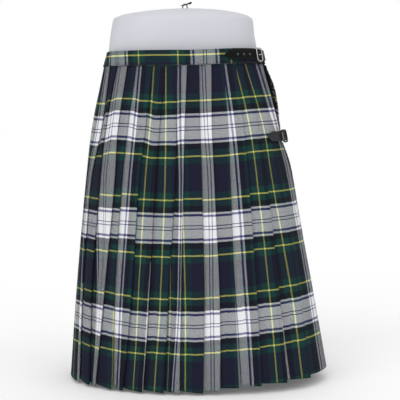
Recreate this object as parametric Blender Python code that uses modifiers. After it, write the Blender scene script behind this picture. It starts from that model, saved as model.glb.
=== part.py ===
"""A knee-length pleated kilt standing on a limbless hip form.

Metres, +Z up.  The wearer's back faces -Y and the wearer's right side is +X.  The cloth is
worked out on rings.  A place on the cloth has three measures: `down`, the distance below the
waist seam along the cloth, `along`, the distance round the ring from the centre back (plus to
the wearer's right), and `out`, the distance outside the base surface.
"""
import bisect
import math
from collections import namedtuple

import bpy
import bmesh
from mathutils import Matrix, Vector

MM = 0.001

# ---------------------------------------------------------------- driving sizes
SKIRT_LENGTH = 0.562       # waist seam to hem, along the cloth
BAND_HEIGHT = 0.0262       # waistband
SEAM_GAP = 0.0003          # between pieces that touch
CLOTH = 0.0012             # thickness of the wool cloth
BAND_CLOTH = 0.0024        # thickness of the folded waistband
LEATHER = 0.0020
HEM_CLEARANCE = 0.0046     # lowest hem above the floor
FLARE_LOSS = 0.0034        # height that the flare takes up where it is least
WAIST_Z = SKIRT_LENGTH + HEM_CLEARANCE - FLARE_LOSS
RIGHT_LIFT = (0.0050, 0.0072)   # how much higher the right side hangs, at the waist and the hem
LIFT_RUN = (0.17, 0.065)        # share of the ring over which it rises from the centre back
LIFT_FALL = (0.36, 0.74)        # shares of the ring between which it falls again, round the front

# ---------------------------------------------------------------- the ring table (mm)
# left and right are the sides' places across, back and front the depths from the centre line
Ring = namedtuple("Ring", "down left right back front")
RINGS = [
    Ring(-30.0, -170.5, 110.0, 104.0, 98.5),
    Ring(0.0, -174.0, 116.5, 106.0, 100.0),
    Ring(110.0, -196.5, 148.0, 122.0, 115.0),
    Ring(204.0, -207.5, 165.5, 136.0, 128.0),
    Ring(401.0, -225.5, 203.0, 154.0, 150.0),
    Ring(562.0, -235.0, 232.2, 163.5, 161.0),
]
ROUND_LEFT = 2.05          # superellipse exponent of the left half of a ring
ROUND_RIGHT = 2.35         # and of the right half, which turns more sharply
RING_SAMPLES = 720

# ---------------------------------------------------------------- the pleat table (mm)
# where each pleat's fold edge lies across the back, at five heights
Fold = namedtuple("Fold", "name waist seat hip thigh hem")
FOLD_DOWNS = [0.0, 110.0, 204.0, 401.0, 562.0]
FOLDS = [
    Fold("o", -162, -179, -197, -210, -216),
    Fold("n", -149, -166, -181, -191, -194),
    Fold("m", -128, -143, -150, -168, -176),
    Fold("l", -110, -125, -135, -150, -155),
    Fold("k", -83, -94, -105, -118, -133),
    Fold("j", -61, -69, -76, -87, -97),
    Fold("i", -40, -42, -46, -56, -63),
    Fold("h", -22, -26, -28, -32, -34),
    Fold("g", -1, 1, 4, 8, 6),
    Fold("f", 20, 21, 25, 34, 35),
    Fold("e", 41, 49, 53, 60, 67),
    Fold("d", 63, 77, 87, 98, 106),
    Fold("c", 82, 104, 118, 138, 151),
    Fold("b", 100, 128, 145, 177, 195),
]

# places near the sides (mm), measured along the ring from the side, plus to the front
Side = namedtuple("Side", "name waist seat hip thigh hem")
LAST_FOLD = Side("a", -22, -20, -10, -5, -3)
BACK_END = Side("back end", 18, 30, 60, 88, 110)
APRON_EDGE = Side("over-apron edge", -12, -6, 20, 44, 60)
FRONT_FOLDS = [Side("q", 30, 36, 44, 56, 66), Side("p", 13, 15, 18, 22, 26)]
LEFT_SEAM = Side("left seam", 50, 60, 76, 96, 112)
UNDER_END_SHORT = 0.055    # the under-apron ends this far before the left seam

# ---------------------------------------------------------------- pleats
UNDERLAP = (0.010, 0.016)  # cloth folded back behind a fold edge, at the waist and the hem
LAYER_STEP = (0.0018, 0.0032)   # between a pleat's three layers, at the waist and the hem
UNDERLAP_SHARE = 0.70      # the most of a pleat's width that its underlap takes
FELL = 0.190               # the pleats are sewn flat down to here
HEM_TILT = 0.0034          # how much higher the cloth hangs behind a fold at the hem
FOLD_ROUND = 0.0008
FACE_POINTS = {14: 2, 15: 2, 16: 3, 17: 4}      # points on the wide faces, one on the others

BAND_ROWS = [-BAND_HEIGHT, -BAND_HEIGHT * 0.5, -SEAM_GAP]
BAND_COLUMNS = 56
CLOTH_ROWS = [SEAM_GAP, 0.040, 0.085, 0.130, 0.175, 0.225, 0.285, 0.350, 0.420, 0.490, SKIRT_LENGTH]
PANEL_COLUMNS = 28

# ---------------------------------------------------------------- layers (distance out)
OVER_OUT = 0.0024
UNDER_OUT = -0.0014
BAND_OUT = 0.0004
UNDER_BAND_OUT = -0.0018
OVER_BAND_OUT = 0.0018
LAYER_BLEND = 0.030        # run over which a panel steps from one layer to the next
BAND_STEP_CLEAR = 0.004    # the under layer is down this far before the over-apron's edge

# ---------------------------------------------------------------- fringe
STRANDS = 96
FRINGE_STRIP = 0.0030      # width of the strip that holds the strands
STRAND_SHARE = 0.62        # share of the pitch that a strand's root takes
STRAND_LENGTHS = [0.0105, 0.0125, 0.0095, 0.0130, 0.0110]
STRAND_LIFTS = [0.0030, 0.0012, 0.0038, 0.0020, 0.0008]
STRAND_TIP = 0.45

# ---------------------------------------------------------------- the form (mm)
FormRing = namedtuple("FormRing", "height centre half_width half_depth middle")
FORM_RINGS = [
    FormRing(0.0, -4.0, 128.0, 90.0, 0.0),
    FormRing(60.0, -6.0, 134.0, 94.0, 0.0),
    FormRing(180.0, -13.0, 147.0, 102.0, 0.0),
    FormRing(300.0, -20.0, 156.0, 108.0, 0.0),
    FormRing(400.0, -24.0, 155.0, 106.0, 0.0),
    FormRing(480.0, -28.0, 146.0, 97.0, 0.0),
    FormRing(545.0, -31.5, 136.0, 87.0, 0.0),
    FormRing(597.0, -33.0, 132.0, 83.0, 0.0),
    FormRing(622.0, -33.0, 129.5, 81.0, 0.0),
    FormRing(645.0, -32.0, 126.0, 79.0, 0.0),
]
FORM_ROUND = 2.35
FORM_COLUMNS = 40
# the shoulder and dome over the last ring: share of its width, rise (mm) and move to the right
DomeRing = namedtuple("DomeRing", "share rise shift")
DOME = [DomeRing(0.985, 4.0, 0.0), DomeRing(0.945, 7.5, 1.0), DomeRing(0.860, 11.5, 3.0),
        DomeRing(0.700, 15.5, 6.0), DomeRing(0.480, 19.5, 9.0), DomeRing(0.240, 22.0, 11.0)]

# ---------------------------------------------------------------- straps and buckles
# tip and buckle are places across the back, and anchor is how far past the side the strap is sewn
Strap = namedtuple("Strap", "name down tip buckle anchor width buckle_out point tip_share")
UPPER = Strap("upper", -0.0180, 0.0425, 0.1005, 0.034, 0.0176, 0.0049, 0.0085, 0.12)
LOWER = Strap("lower", 0.1335, 0.1235, 0.1440, 0.050, 0.0180, 0.0050, 0.0110, 0.10)
STRAP_SIDES = [-1.0, -0.45, 0.45, 1.0]   # rows of points across a strap
STRAP_COLUMNS = 22
STRAP_CROWDING = 1.25      # columns stand closer together at the shaped tip
TIP_CLEAR = 0.0004         # the tip's height over what it lies on
TAB_CLEAR = 0.001          # the strap has risen this far before the tab
BUCKLE_LENGTH = 0.0170
BUCKLE_WIRE = 0.0015
BUCKLE_MARGIN = 0.0024     # frame's clear space above and below the strap
BUCKLE_CORNER = 0.0035
BUCKLE_CLEAR = 0.00072     # between the strap and the frame over it
DESCENT = (0.008, 0.016)   # where the strap leaves its crest past the buckle, and its run down
TAB_REACH = 0.016
TAB_PAST = 0.004           # how far the tab runs past the buckle's middle
TAB_INSET = 0.001          # how much narrower the tab is on each side
TAB_COLUMNS = 5
TAB_LEATHER = 0.0014

# ---------------------------------------------------------------- the clamp on the dome
CLAMP_ACROSS = -0.0250     # its middle, across
CLAMP_WIRE = 0.0011
CLAMP_HEIGHT = 0.0105
CLAMP_HALF = 0.0048
ClampPoint = namedtuple("ClampPoint", "across height")
CLAMP_LOOP = [ClampPoint(-1.0, 0.0), ClampPoint(-0.9, 0.6), ClampPoint(-0.45, 0.95),
              ClampPoint(0.45, 0.95), ClampPoint(0.9, 0.6), ClampPoint(1.0, 0.0)]
LEVER_SIZE = (0.0120, 0.0040, 0.0014)
LEVER_EDGE = 0.0004
LEVER_TILT = -24.0         # degrees
LEVER_PLACE = (0.0055, -0.0042, 0.72)    # across and forward of the loop, share of its height

COLLECTION = "kilt_on_hip_form"


# ================================================================ numbers
def smooth(places, values, at):
    """A curve through the table's values, read at one place."""
    last = len(places) - 1
    i = min(max(bisect.bisect_right(places, at) - 1, 0), last - 1)

    def slope(j):
        a, b = max(j - 1, 0), min(j + 1, last)
        return (values[b] - values[a]) / (places[b] - places[a])

    run = places[i + 1] - places[i]
    t = (at - places[i]) / run
    t2, t3 = t * t, t * t * t
    return ((2 * t3 - 3 * t2 + 1) * values[i] + (t3 - 2 * t2 + t) * run * slope(i)
            + (3 * t2 - 2 * t3) * values[i + 1] + (t3 - t2) * run * slope(i + 1))


def mix(a, b, t):
    return a + (b - a) * t


def ease(t):
    t = min(max(t, 0.0), 1.0)
    return t * t * (3.0 - 2.0 * t)


def signed_power(value, power):
    return math.copysign(abs(value) ** power, value)


# ================================================================ the base surface
class RingCurve:
    """One ring of the base surface, measured along itself from the centre back."""

    def __init__(self, down):
        downs = [ring.down * MM for ring in RINGS]
        left, right, back, front = (
            smooth(downs, [getattr(ring, side) * MM for ring in RINGS], down)
            for side in ("left", "right", "back", "front"))
        centre, half = (left + right) / 2, (right - left) / 2
        self.points, self.alongs = [], []
        length = 0.0
        for i in range(RING_SAMPLES + 1):
            turn = math.pi * (2.0 * i / RING_SAMPLES - 1.0)
            power = 2.0 / (ROUND_RIGHT if turn > 0 else ROUND_LEFT)
            sine, cosine = math.sin(turn), math.cos(turn)
            depth = back if cosine > 0 else front
            point = Vector((centre + half * signed_power(sine, power),
                            -depth * signed_power(cosine, power)))
            if self.points:
                length += (point - self.points[-1]).length
            self.points.append(point)
            self.alongs.append(length)
        self.length = length
        quarter = RING_SAMPLES // 4
        start = self.alongs[2 * quarter]
        self.alongs = [value - start for value in self.alongs]
        self.side_left = self.alongs[quarter]
        self.side_right = self.alongs[3 * quarter]

    def point(self, along):
        low = self.alongs[0]
        along = low + (along - low) % self.length
        i = min(max(bisect.bisect_right(self.alongs, along), 1), RING_SAMPLES)
        a, b = self.alongs[i - 1], self.alongs[i]
        return self.points[i - 1].lerp(self.points[i], (along - a) / (b - a))

    def outward(self, along):
        reach = 0.006
        tangent = (self.point(along + reach) - self.point(along - reach)).normalized()
        return Vector((tangent.y, -tangent.x))

    def along_at(self, across):
        """The place on the back half that lies at this distance across."""
        quarter = RING_SAMPLES // 4
        xs = [point.x for point in self.points[quarter:3 * quarter + 1]]
        i = min(max(bisect.bisect_right(xs, across), 1), len(xs) - 1)
        t = (across - xs[i - 1]) / (xs[i] - xs[i - 1])
        return mix(self.alongs[quarter + i - 1], self.alongs[quarter + i], t)


RING_CACHE = {}


def ring(down):
    key = round(down, 6)
    if key not in RING_CACHE:
        RING_CACHE[key] = RingCurve(key)
    return RING_CACHE[key]


def right_lift(down, share):
    """How much higher the cloth hangs at this share of the ring, from the centre back round."""
    t = max(down, 0.0) / SKIRT_LENGTH
    fall_start, fall_end = LIFT_FALL
    rise = ease(share / mix(*LIFT_RUN, t))
    return mix(*RIGHT_LIFT, t) * rise * ease((fall_end - share) / (fall_end - fall_start))


def place(down, along, out=0.0, lift=0.0):
    """A place on the cloth as a point.  A line straight down the cloth keeps its length."""
    here, top = ring(down), ring(0.0)
    flat = here.point(along)
    share = along / here.length
    run = (flat - top.point(share * top.length)).length
    drop = math.copysign(math.sqrt(max(down * down - run * run, 0.0)), down)
    flat = flat + here.outward(along) * out
    return Vector((flat.x, flat.y, WAIST_Z - drop + lift + right_lift(down, share % 1.0)))


def read_row(row, down):
    return smooth([value * MM for value in FOLD_DOWNS], [value * MM for value in row[1:]], max(down, 0.0))


def from_right(row, down):
    return ring(down).side_right + read_row(row, down)


def from_left(row, down):
    return ring(down).side_left - read_row(row, down)


def fold_places(down):
    """Every fold edge along the ring, from the left front to the right side."""
    here = ring(down)
    front = [from_left(row, down) for row in FRONT_FOLDS]
    back = [here.along_at(read_row(row, down)) for row in FOLDS]
    return front + back + [from_right(LAST_FOLD, down)]


# ================================================================ meshes
def finish_mesh(name, mesh_source, material, smooth_angle=40.0):
    mesh = bpy.data.meshes.new(name)
    bmesh.ops.recalc_face_normals(mesh_source, faces=mesh_source.faces)
    mesh_source.to_mesh(mesh)
    mesh_source.free()
    mesh.shade_smooth()
    mesh.set_sharp_from_angle(angle=math.radians(smooth_angle))
    mesh.materials.append(material)
    piece = bpy.data.objects.new(name, mesh)
    bpy.data.collections[COLLECTION].objects.link(piece)
    return piece


def sheet_object(name, rows, material, thickness):
    """An open sheet through rows of points, given its thickness on both sides."""
    made = bmesh.new()
    grid = [[made.verts.new(point) for point in row] for row in rows]
    for upper, lower in zip(grid, grid[1:]):
        for i in range(len(upper) - 1):
            made.faces.new((upper[i], lower[i], lower[i + 1], upper[i + 1]))
    piece = finish_mesh(name, made, material)
    solid = piece.modifiers.new("thickness", "SOLIDIFY")
    solid.thickness = thickness
    solid.offset = 0.0
    return piece


def loft_object(name, sections, material):
    """A closed solid through closed sections, with a flat first end and a fan at the last."""
    made = bmesh.new()
    loops = [[made.verts.new(point) for point in section] for section in sections]
    count = len(loops[0])
    for lower, upper in zip(loops, loops[1:]):
        for i in range(count):
            j = (i + 1) % count
            made.faces.new((lower[i], lower[j], upper[j], upper[i]))
    made.faces.new(loops[0])
    made.faces.new(loops[-1])
    return finish_mesh(name, made, material)


def principled(name, colour, roughness, metallic=0.0):
    material = bpy.data.materials.new(name)
    material.use_nodes = True
    shader = material.node_tree.nodes["Principled BSDF"]
    shader.inputs["Base Color"].default_value = (*colour, 1.0)
    shader.inputs["Roughness"].default_value = roughness
    shader.inputs["Metallic"].default_value = metallic
    return material


# ================================================================ the pleated back
def face_points(first, last, out_first, out_last, number):
    """Points along a pleat's face, more on the wide faces at the right side."""
    count = FACE_POINTS.get(number, 1)
    shares = [(i + 1) / (count + 1) for i in range(count)]
    return [(mix(first, last, share), mix(out_first, out_last, share)) for share in shares]


def pleat_path(down):
    """The cloth's path round one ring: (along, out) from the left seam to the back's end."""
    t = down / SKIRT_LENGTH
    step = mix(*LAYER_STEP, t)
    folds = fold_places(down)
    start, end = from_left(LEFT_SEAM, down), from_right(BACK_END, down)
    path = [(start, 0.0)]
    before, depth = start, 0.0                     # where the face comes out, and how deep
    for number, fold in enumerate(folds):
        width = fold - before
        under = min(mix(*UNDERLAP, t), UNDERLAP_SHARE * width)
        inner_top = -depth * under / width         # the face's own depth over the inner fold
        path += face_points(before, fold, -depth, 0.0, number)
        path += [
            (fold - FOLD_ROUND, 0.0),
            (fold, -step / 2),
            (fold - FOLD_ROUND, -step),
            (fold - under, inner_top - step),
            (fold - under - FOLD_ROUND, inner_top - 1.5 * step),
            (fold - under, inner_top - 2 * step),
            (fold, -2 * step),
        ]
        before, depth = fold, 2 * step
    path += face_points(before, end, -depth, 0.0, len(folds))
    path.append((end, 0.0))
    return path, step


def make_pleated_back(material):
    rows = []
    for down in CLOTH_ROWS:
        path, step = pleat_path(down)
        tilt = HEM_TILT * ease((down - FELL) / (SKIRT_LENGTH - FELL))
        rows.append([place(down, along, out, -tilt * out / (2 * step)) for along, out in path])
    return sheet_object("pleated_back", rows, material, CLOTH)


# ================================================================ the aprons
def panel_rows(start_row, end_row, out_at):
    rows = []
    for down in CLOTH_ROWS:
        start, whole = start_row(down), end_row(down) - start_row(down)
        shares = [i / PANEL_COLUMNS for i in range(PANEL_COLUMNS + 1)]
        rows.append([place(down, start + share * whole, out_at(share * whole, whole))
                     for share in shares])
    return rows


def make_over_apron(material):
    def start(down):
        return from_right(APRON_EDGE, down)

    def end(down):
        return ring(down).length + from_left(LEFT_SEAM, down) - SEAM_GAP

    def out_at(passed, whole):
        return OVER_OUT * ease((whole - passed) / LAYER_BLEND)

    return sheet_object("over_apron", panel_rows(start, end, out_at), material, CLOTH)


def make_under_apron(material):
    def start(down):
        return from_right(BACK_END, down) + SEAM_GAP

    def end(down):
        return ring(down).length + from_left(LEFT_SEAM, down) - UNDER_END_SHORT

    def out_at(passed, whole):
        return UNDER_OUT * ease(passed / LAYER_BLEND)

    return sheet_object("under_apron", panel_rows(start, end, out_at), material, CLOTH)


# ================================================================ the waistband
def band_rows(start, end, out_at):
    rows = []
    for down in BAND_ROWS:
        first, last = start(down), end(down)
        rows.append([place(down, mix(first, last, i / BAND_COLUMNS),
                           out_at(mix(first, last, i / BAND_COLUMNS), down))
                     for i in range(BAND_COLUMNS + 1)])
    return rows


def make_waistband(material):
    """The strip round the back, which runs on under the over-apron to the under-apron's end."""
    def start(down):
        return from_left(LEFT_SEAM, down) + SEAM_GAP

    def end(down):
        return ring(down).length + from_left(LEFT_SEAM, down) - UNDER_END_SHORT

    def out_at(along, down):
        ramp_end = from_right(APRON_EDGE, down) - BAND_STEP_CLEAR
        return mix(BAND_OUT, UNDER_BAND_OUT, ease((along - ramp_end) / LAYER_BLEND + 1.0))

    return sheet_object("waistband", band_rows(start, end, out_at), material, BAND_CLOTH)


def make_apron_waistband(material):
    def start(down):
        return from_right(APRON_EDGE, down)

    def end(down):
        return ring(down).length + from_left(LEFT_SEAM, down)

    def out_at(along, down):
        return mix(BAND_OUT, OVER_BAND_OUT, ease((end(down) - along) / LAYER_BLEND))

    return sheet_object("apron_waistband", band_rows(start, end, out_at), material, BAND_CLOTH)


# ================================================================ the fringe
def under_a_strap(down):
    clear = BUCKLE_MARGIN + SKIRT_LENGTH / STRANDS
    return any(abs(down - spec.down) < spec.width / 2 + clear for spec in (UPPER, LOWER))


def beside_apron_edge(down, inward, out):
    """A place beside the over-apron's edge, which is straight between the panel's rows."""
    i = min(max(bisect.bisect_right(CLOTH_ROWS, down), 1), len(CLOTH_ROWS) - 1)
    above, below = CLOTH_ROWS[i - 1], CLOTH_ROWS[i]
    ends = [place(row, from_right(APRON_EDGE, row) - inward, out) for row in (above, below)]
    return ends[0].lerp(ends[1], (down - above) / (below - above))


def make_apron_fringe(material):
    """Strands fused into a narrow strip that stands a hair off the over-apron's free edge."""
    made = bmesh.new()
    half = CLOTH / 2
    pitch = (SKIRT_LENGTH - 2 * SEAM_GAP) / STRANDS
    sections = []
    downs = []
    for i in range(STRANDS):
        top = SEAM_GAP + i * pitch
        downs += [top, top + STRAND_SHARE * pitch]
    downs.append(SKIRT_LENGTH - SEAM_GAP)
    for down in downs:
        near, far = SEAM_GAP, SEAM_GAP + FRINGE_STRIP
        corners = [(near, OVER_OUT - half), (near, OVER_OUT + half),
                   (far, OVER_OUT + half), (far, OVER_OUT - half)]
        sections.append([made.verts.new(beside_apron_edge(down, inward, out))
                         for inward, out in corners])
    made.faces.new(sections[0])
    made.faces.new(sections[-1])
    for i, (upper, lower) in enumerate(zip(sections, sections[1:])):
        for a, b in ((0, 1), (1, 2), (3, 0)):
            made.faces.new((upper[a], upper[b], lower[b], lower[a]))
        root = [upper[2], upper[3], lower[3], lower[2]]
        if i % 2:
            made.faces.new(root)
            continue
        number = i // 2
        middle = (downs[i] + downs[i + 1]) / 2
        length = STRAND_LENGTHS[number % len(STRAND_LENGTHS)]
        rise = 0.0 if under_a_strap(middle) else STRAND_LIFTS[(number * 2) % len(STRAND_LIFTS)]
        tip_centre = beside_apron_edge(middle, SEAM_GAP + FRINGE_STRIP + length, OVER_OUT + rise)
        centre = sum((vert.co for vert in root), Vector()) / 4
        tip = [made.verts.new(tip_centre + (vert.co - centre) * STRAND_TIP) for vert in root]
        for j in range(4):
            k = (j + 1) % 4
            made.faces.new((root[j], root[k], tip[k], tip[j]))
        made.faces.new(tip)
    return finish_mesh("apron_fringe", made, material)


# ================================================================ straps, tabs and buckles
def surface_axes(down, along, out):
    """A matrix at a place on the cloth: X along the ring, Y up the cloth, Z outward."""
    reach = 0.003
    middle = place(down, along, out)
    x = (place(down, along + reach, out) - place(down, along - reach, out)).normalized()
    up = (place(down - reach, along, out) - place(down + reach, along, out)).normalized()
    z = x.cross(up).normalized()
    y = z.cross(x).normalized()
    return Matrix.Translation(middle) @ Matrix((x, y, z)).transposed().to_4x4()


def strap_rows(spec, first, last, out_at, half_width_at, columns):
    rows = []
    for side in STRAP_SIDES:
        row = []
        for i in range(columns + 1):
            along = mix(first, last, (i / columns) ** STRAP_CROWDING)
            row.append(place(spec.down - side * half_width_at(along), along, out_at(along)))
        rows.append(row)
    return rows


def strap_places(spec):
    here = ring(spec.down)
    return here.along_at(spec.tip), here.along_at(spec.buckle), here.side_right + spec.anchor


def strap_base_out(spec):
    """The face that the strap lies on, before and after the over-apron's edge."""
    if spec.down < 0:
        return BAND_OUT + BAND_CLOTH / 2, OVER_BAND_OUT + BAND_CLOTH / 2
    return CLOTH / 2, OVER_OUT + CLOTH / 2


def strap_crest(spec):
    """The strap's middle layer where it passes over the tab, through the buckle."""
    tab_top = strap_base_out(spec)[0] + SEAM_GAP + TAB_LEATHER
    return max(tab_top + SEAM_GAP + LEATHER / 2, spec.buckle_out)


def make_strap(spec, material):
    tip, buckle, anchor = strap_places(spec)
    near, far = strap_base_out(spec)
    rest = SEAM_GAP + LEATHER / 2
    crest = strap_crest(spec)
    climb = buckle - TAB_REACH - TAB_CLEAR - tip

    def out_at(along):
        if along < buckle:
            return mix(near + rest + TIP_CLEAR, crest, ease((along - tip) / climb))
        descent_start, descent_run = DESCENT
        return mix(crest, far + rest, ease((along - buckle - descent_start) / descent_run))

    def half_width_at(along):
        share = min((along - tip) / spec.point, 1.0)
        return spec.width / 2 * mix(spec.tip_share, 1.0, math.sin(share * math.pi / 2))

    rows = strap_rows(spec, tip, anchor, out_at, half_width_at, STRAP_COLUMNS)
    return sheet_object(spec.name + "_strap", rows, material, LEATHER)


def make_tab(spec, material):
    """The short leather tab, sewn to the cloth, that holds the buckle under the strap."""
    buckle = strap_places(spec)[1]
    near = strap_base_out(spec)[0]
    out = near + SEAM_GAP + TAB_LEATHER / 2
    rows = strap_rows(spec, buckle - TAB_REACH, buckle + TAB_PAST, lambda along: out,
                      lambda along: spec.width / 2 - TAB_INSET, TAB_COLUMNS)
    return sheet_object(spec.name + "_tab", rows, material, TAB_LEATHER)


def wire_object(name, points, radius, matrix, material, cyclic=False, resolution=2):
    curve = bpy.data.curves.new(name, "CURVE")
    curve.dimensions = "3D"
    curve.bevel_depth = radius
    curve.bevel_resolution = resolution
    curve.use_fill_caps = not cyclic
    spline = curve.splines.new("POLY")
    spline.points.add(len(points) - 1)
    for target, point in zip(spline.points, points):
        target.co = (*point, 1.0)
    spline.use_cyclic_u = cyclic
    curve.materials.append(material)
    piece = bpy.data.objects.new(name, curve)
    piece.matrix_world = matrix
    bpy.data.collections[COLLECTION].objects.link(piece)
    return piece


def rounded_rectangle(width, height, radius, steps=4):
    points = []
    for corner in range(4):
        cx = (width / 2 - radius) * (1 if corner in (0, 3) else -1)
        cy = (height / 2 - radius) * (1 if corner in (0, 1) else -1)
        for i in range(steps + 1):
            angle = math.pi / 2 * (corner + i / steps)
            points.append((cx + radius * math.cos(angle), cy + radius * math.sin(angle), 0.0))
    return points


def make_buckle(spec, material):
    buckle = strap_places(spec)[1]
    out = strap_crest(spec) + LEATHER / 2 + BUCKLE_CLEAR + BUCKLE_WIRE
    matrix = surface_axes(spec.down, buckle, out)
    frame = rounded_rectangle(BUCKLE_LENGTH, spec.width + 2 * BUCKLE_MARGIN, BUCKLE_CORNER)
    wire_object(spec.name + "_buckle", frame, BUCKLE_WIRE, matrix, material, cyclic=True)


# ================================================================ the form and its clamp
def form_section(spec_width, spec_depth, centre, middle, height):
    points = []
    power = 2.0 / FORM_ROUND
    for i in range(FORM_COLUMNS):
        turn = 2 * math.pi * (i + 0.5) / FORM_COLUMNS
        points.append(Vector((centre + spec_width * signed_power(math.cos(turn), power),
                              middle + spec_depth * signed_power(math.sin(turn), power), height)))
    return points


def make_hip_form(material):
    sections = [form_section(row.half_width * MM, row.half_depth * MM, row.centre * MM,
                             row.middle * MM, row.height * MM) for row in FORM_RINGS]
    top = FORM_RINGS[-1]
    for row in DOME:
        sections.append(form_section(top.half_width * row.share * MM, top.half_depth * row.share * MM,
                                     (top.centre + row.shift) * MM, top.middle * MM,
                                     (top.height + row.rise) * MM))
    return loft_object("hip_form", sections, material)


def make_clamp(loop_material, lever_material):
    """A wire loop that stands on the dome and a short lever that leans on it."""
    foot = FORM_RINGS[-1].height * MM + DOME[-1].rise * MM + 2 * SEAM_GAP
    loop = [(point.across * CLAMP_HALF, 0.0, point.height * CLAMP_HEIGHT) for point in CLAMP_LOOP]
    wire_object("clamp_loop", loop, CLAMP_WIRE, Matrix.Translation((CLAMP_ACROSS, 0, foot)), loop_material)
    made = bmesh.new()
    bmesh.ops.create_cube(made, size=1.0)
    bmesh.ops.scale(made, vec=LEVER_SIZE, verts=made.verts)
    bmesh.ops.bevel(made, geom=made.edges[:], offset=LEVER_EDGE, segments=1, affect="EDGES")
    lever = finish_mesh("clamp_lever", made, lever_material)
    across, forward, share = LEVER_PLACE
    lever.rotation_euler = (0.0, math.radians(LEVER_TILT), 0.0)
    lever.location = (CLAMP_ACROSS + across, forward, foot + CLAMP_HEIGHT * share)


# ================================================================ the whole
def main():
    for old in list(bpy.data.objects):
        bpy.data.objects.remove(old)
    collection = bpy.data.collections.new(COLLECTION)
    bpy.context.scene.collection.children.link(collection)

    tartan = principled("tartan_wool", (0.045, 0.065, 0.075), 0.85)
    apron_tartan = principled("apron_wool", (0.050, 0.070, 0.078), 0.85)
    band_tartan = principled("band_wool", (0.060, 0.075, 0.085), 0.85)
    yarn = principled("fringe_yarn", (0.020, 0.022, 0.035), 0.9)
    leather = principled("black_leather", (0.016, 0.016, 0.018), 0.5)
    silver = principled("silver_metal", (0.70, 0.70, 0.72), 0.25, 1.0)
    gunmetal = principled("dark_metal", (0.10, 0.10, 0.11), 0.35, 1.0)
    plastic = principled("form_plastic", (0.72, 0.72, 0.76), 0.4)

    make_pleated_back(tartan)
    make_over_apron(apron_tartan)
    make_under_apron(apron_tartan)
    make_waistband(band_tartan)
    make_apron_waistband(band_tartan)
    make_apron_fringe(yarn)
    make_strap(UPPER, leather)
    make_tab(UPPER, leather)
    make_buckle(UPPER, silver)
    make_strap(LOWER, leather)
    make_tab(LOWER, leather)
    make_buckle(LOWER, gunmetal)
    make_hip_form(plastic)
    make_clamp(silver, gunmetal)


main()
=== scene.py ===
"""The looks of the pleated kilt on its hip form: cloth, leather, metal, plastic, light and camera.

Metres, +Z up.  The wearer's back faces -Y and the camera.  The cloth is worked out on the same
rings and pleat tables as the solids that it stands for.  A place on it has three measures: `down`,
the distance below the waist seam along the cloth, `along`, the distance round the ring from the
centre back (plus to the wearer's right), and `out`, the distance outside the base surface.
Each sheet carries a UV map in metres of cloth, and the tartan is woven from that map.
"""

import bisect
from collections import namedtuple
from math import copysign, cos, pi, radians, sin, sqrt

import bpy
import bmesh
from mathutils import Matrix, Vector, noise


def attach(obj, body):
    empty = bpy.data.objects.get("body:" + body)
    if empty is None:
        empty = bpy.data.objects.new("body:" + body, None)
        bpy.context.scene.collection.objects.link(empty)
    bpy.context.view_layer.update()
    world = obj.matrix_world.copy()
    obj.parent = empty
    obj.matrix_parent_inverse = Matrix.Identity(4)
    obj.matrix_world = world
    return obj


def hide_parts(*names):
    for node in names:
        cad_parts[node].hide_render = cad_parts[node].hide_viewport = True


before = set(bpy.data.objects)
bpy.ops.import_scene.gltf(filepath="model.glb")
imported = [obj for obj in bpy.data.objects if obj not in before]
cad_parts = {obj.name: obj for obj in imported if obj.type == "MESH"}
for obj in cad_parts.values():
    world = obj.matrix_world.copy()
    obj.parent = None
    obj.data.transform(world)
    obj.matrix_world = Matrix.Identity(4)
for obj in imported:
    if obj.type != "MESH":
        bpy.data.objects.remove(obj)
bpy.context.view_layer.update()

MM = 0.001
MAP = "cloth"              # the UV map in metres of cloth

# -------- driving sizes
SKIRT_LENGTH = 0.562  # waist seam to hem, along the cloth
BAND_HEIGHT = 0.0262
HEM_CLEARANCE = 0.0046
FLARE_LOSS = 0.0034
WAIST_Z = SKIRT_LENGTH + HEM_CLEARANCE - FLARE_LOSS
RIGHT_LIFT = (0.005, 0.0072)  # how much higher the right side hangs, at the waist and the hem
LIFT_RUN = (0.17, 0.065)  # share of the ring over which it rises from the centre back
LIFT_FALL = (0.36, 0.74)  # shares of the ring between which it falls again, round the front
SEAM_GAP = 0.0003
CLOTH = 0.0012  # thickness of the wool cloth
BAND_CLOTH = 0.0024  # thickness of the folded waistband
LEATHER = 0.002

# -------- the rings (mm)
Ring = namedtuple("Ring", "down left right back front")
RINGS = [
    Ring(-30, -170.5, 110, 104, 98.5), Ring(0, -174, 116.5, 106, 100),
    Ring(110, -196.5, 148, 122, 115), Ring(204, -207.5, 165.5, 136, 128),
    Ring(401, -227, 203, 154, 150), Ring(562, -239, 232.2, 163.5, 161),
]
ROUND_LEFT = 2.05  # superellipse exponent of the left half of a ring
ROUND_RIGHT = 2.35
RING_SAMPLES = 720
QUARTER = RING_SAMPLES // 4
# how far the straps draw the cloth in at the right side, fading out round the ring
Pull = namedtuple("Pull", "down depth")
PULLS = [Pull(-30, 0), Pull(0, 3.6), Pull(50, 5.5), Pull(85, 7.6), Pull(112, 8.4),
         Pull(142, 9.2), Pull(166, 4.4), Pull(190, 0.8), Pull(215, 0), Pull(600, 0)]
PULL_REACH = 0.075  # half the stretch of the ring that is drawn in
# where the waistband leans in: the side, how far beyond it round the ring, how deep, half its run
Lean = namedtuple("Lean", "side beyond depth reach")
LEANS = [Lean("side_left", 0.0, 0.0056, 0.085), Lean("side_right", 0.012, 0.0034, 0.05)]
LEAN_FOOT = 0.25  # how much of that is there at the band's lower edge

# -------- the pleats (mm)
HEIGHTS = [0.0, 110.0, 204.0, 401.0, 562.0]  # the rows' five places below the waist seam
Row = namedtuple("Row", "waist seat hip thigh hem")
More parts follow.
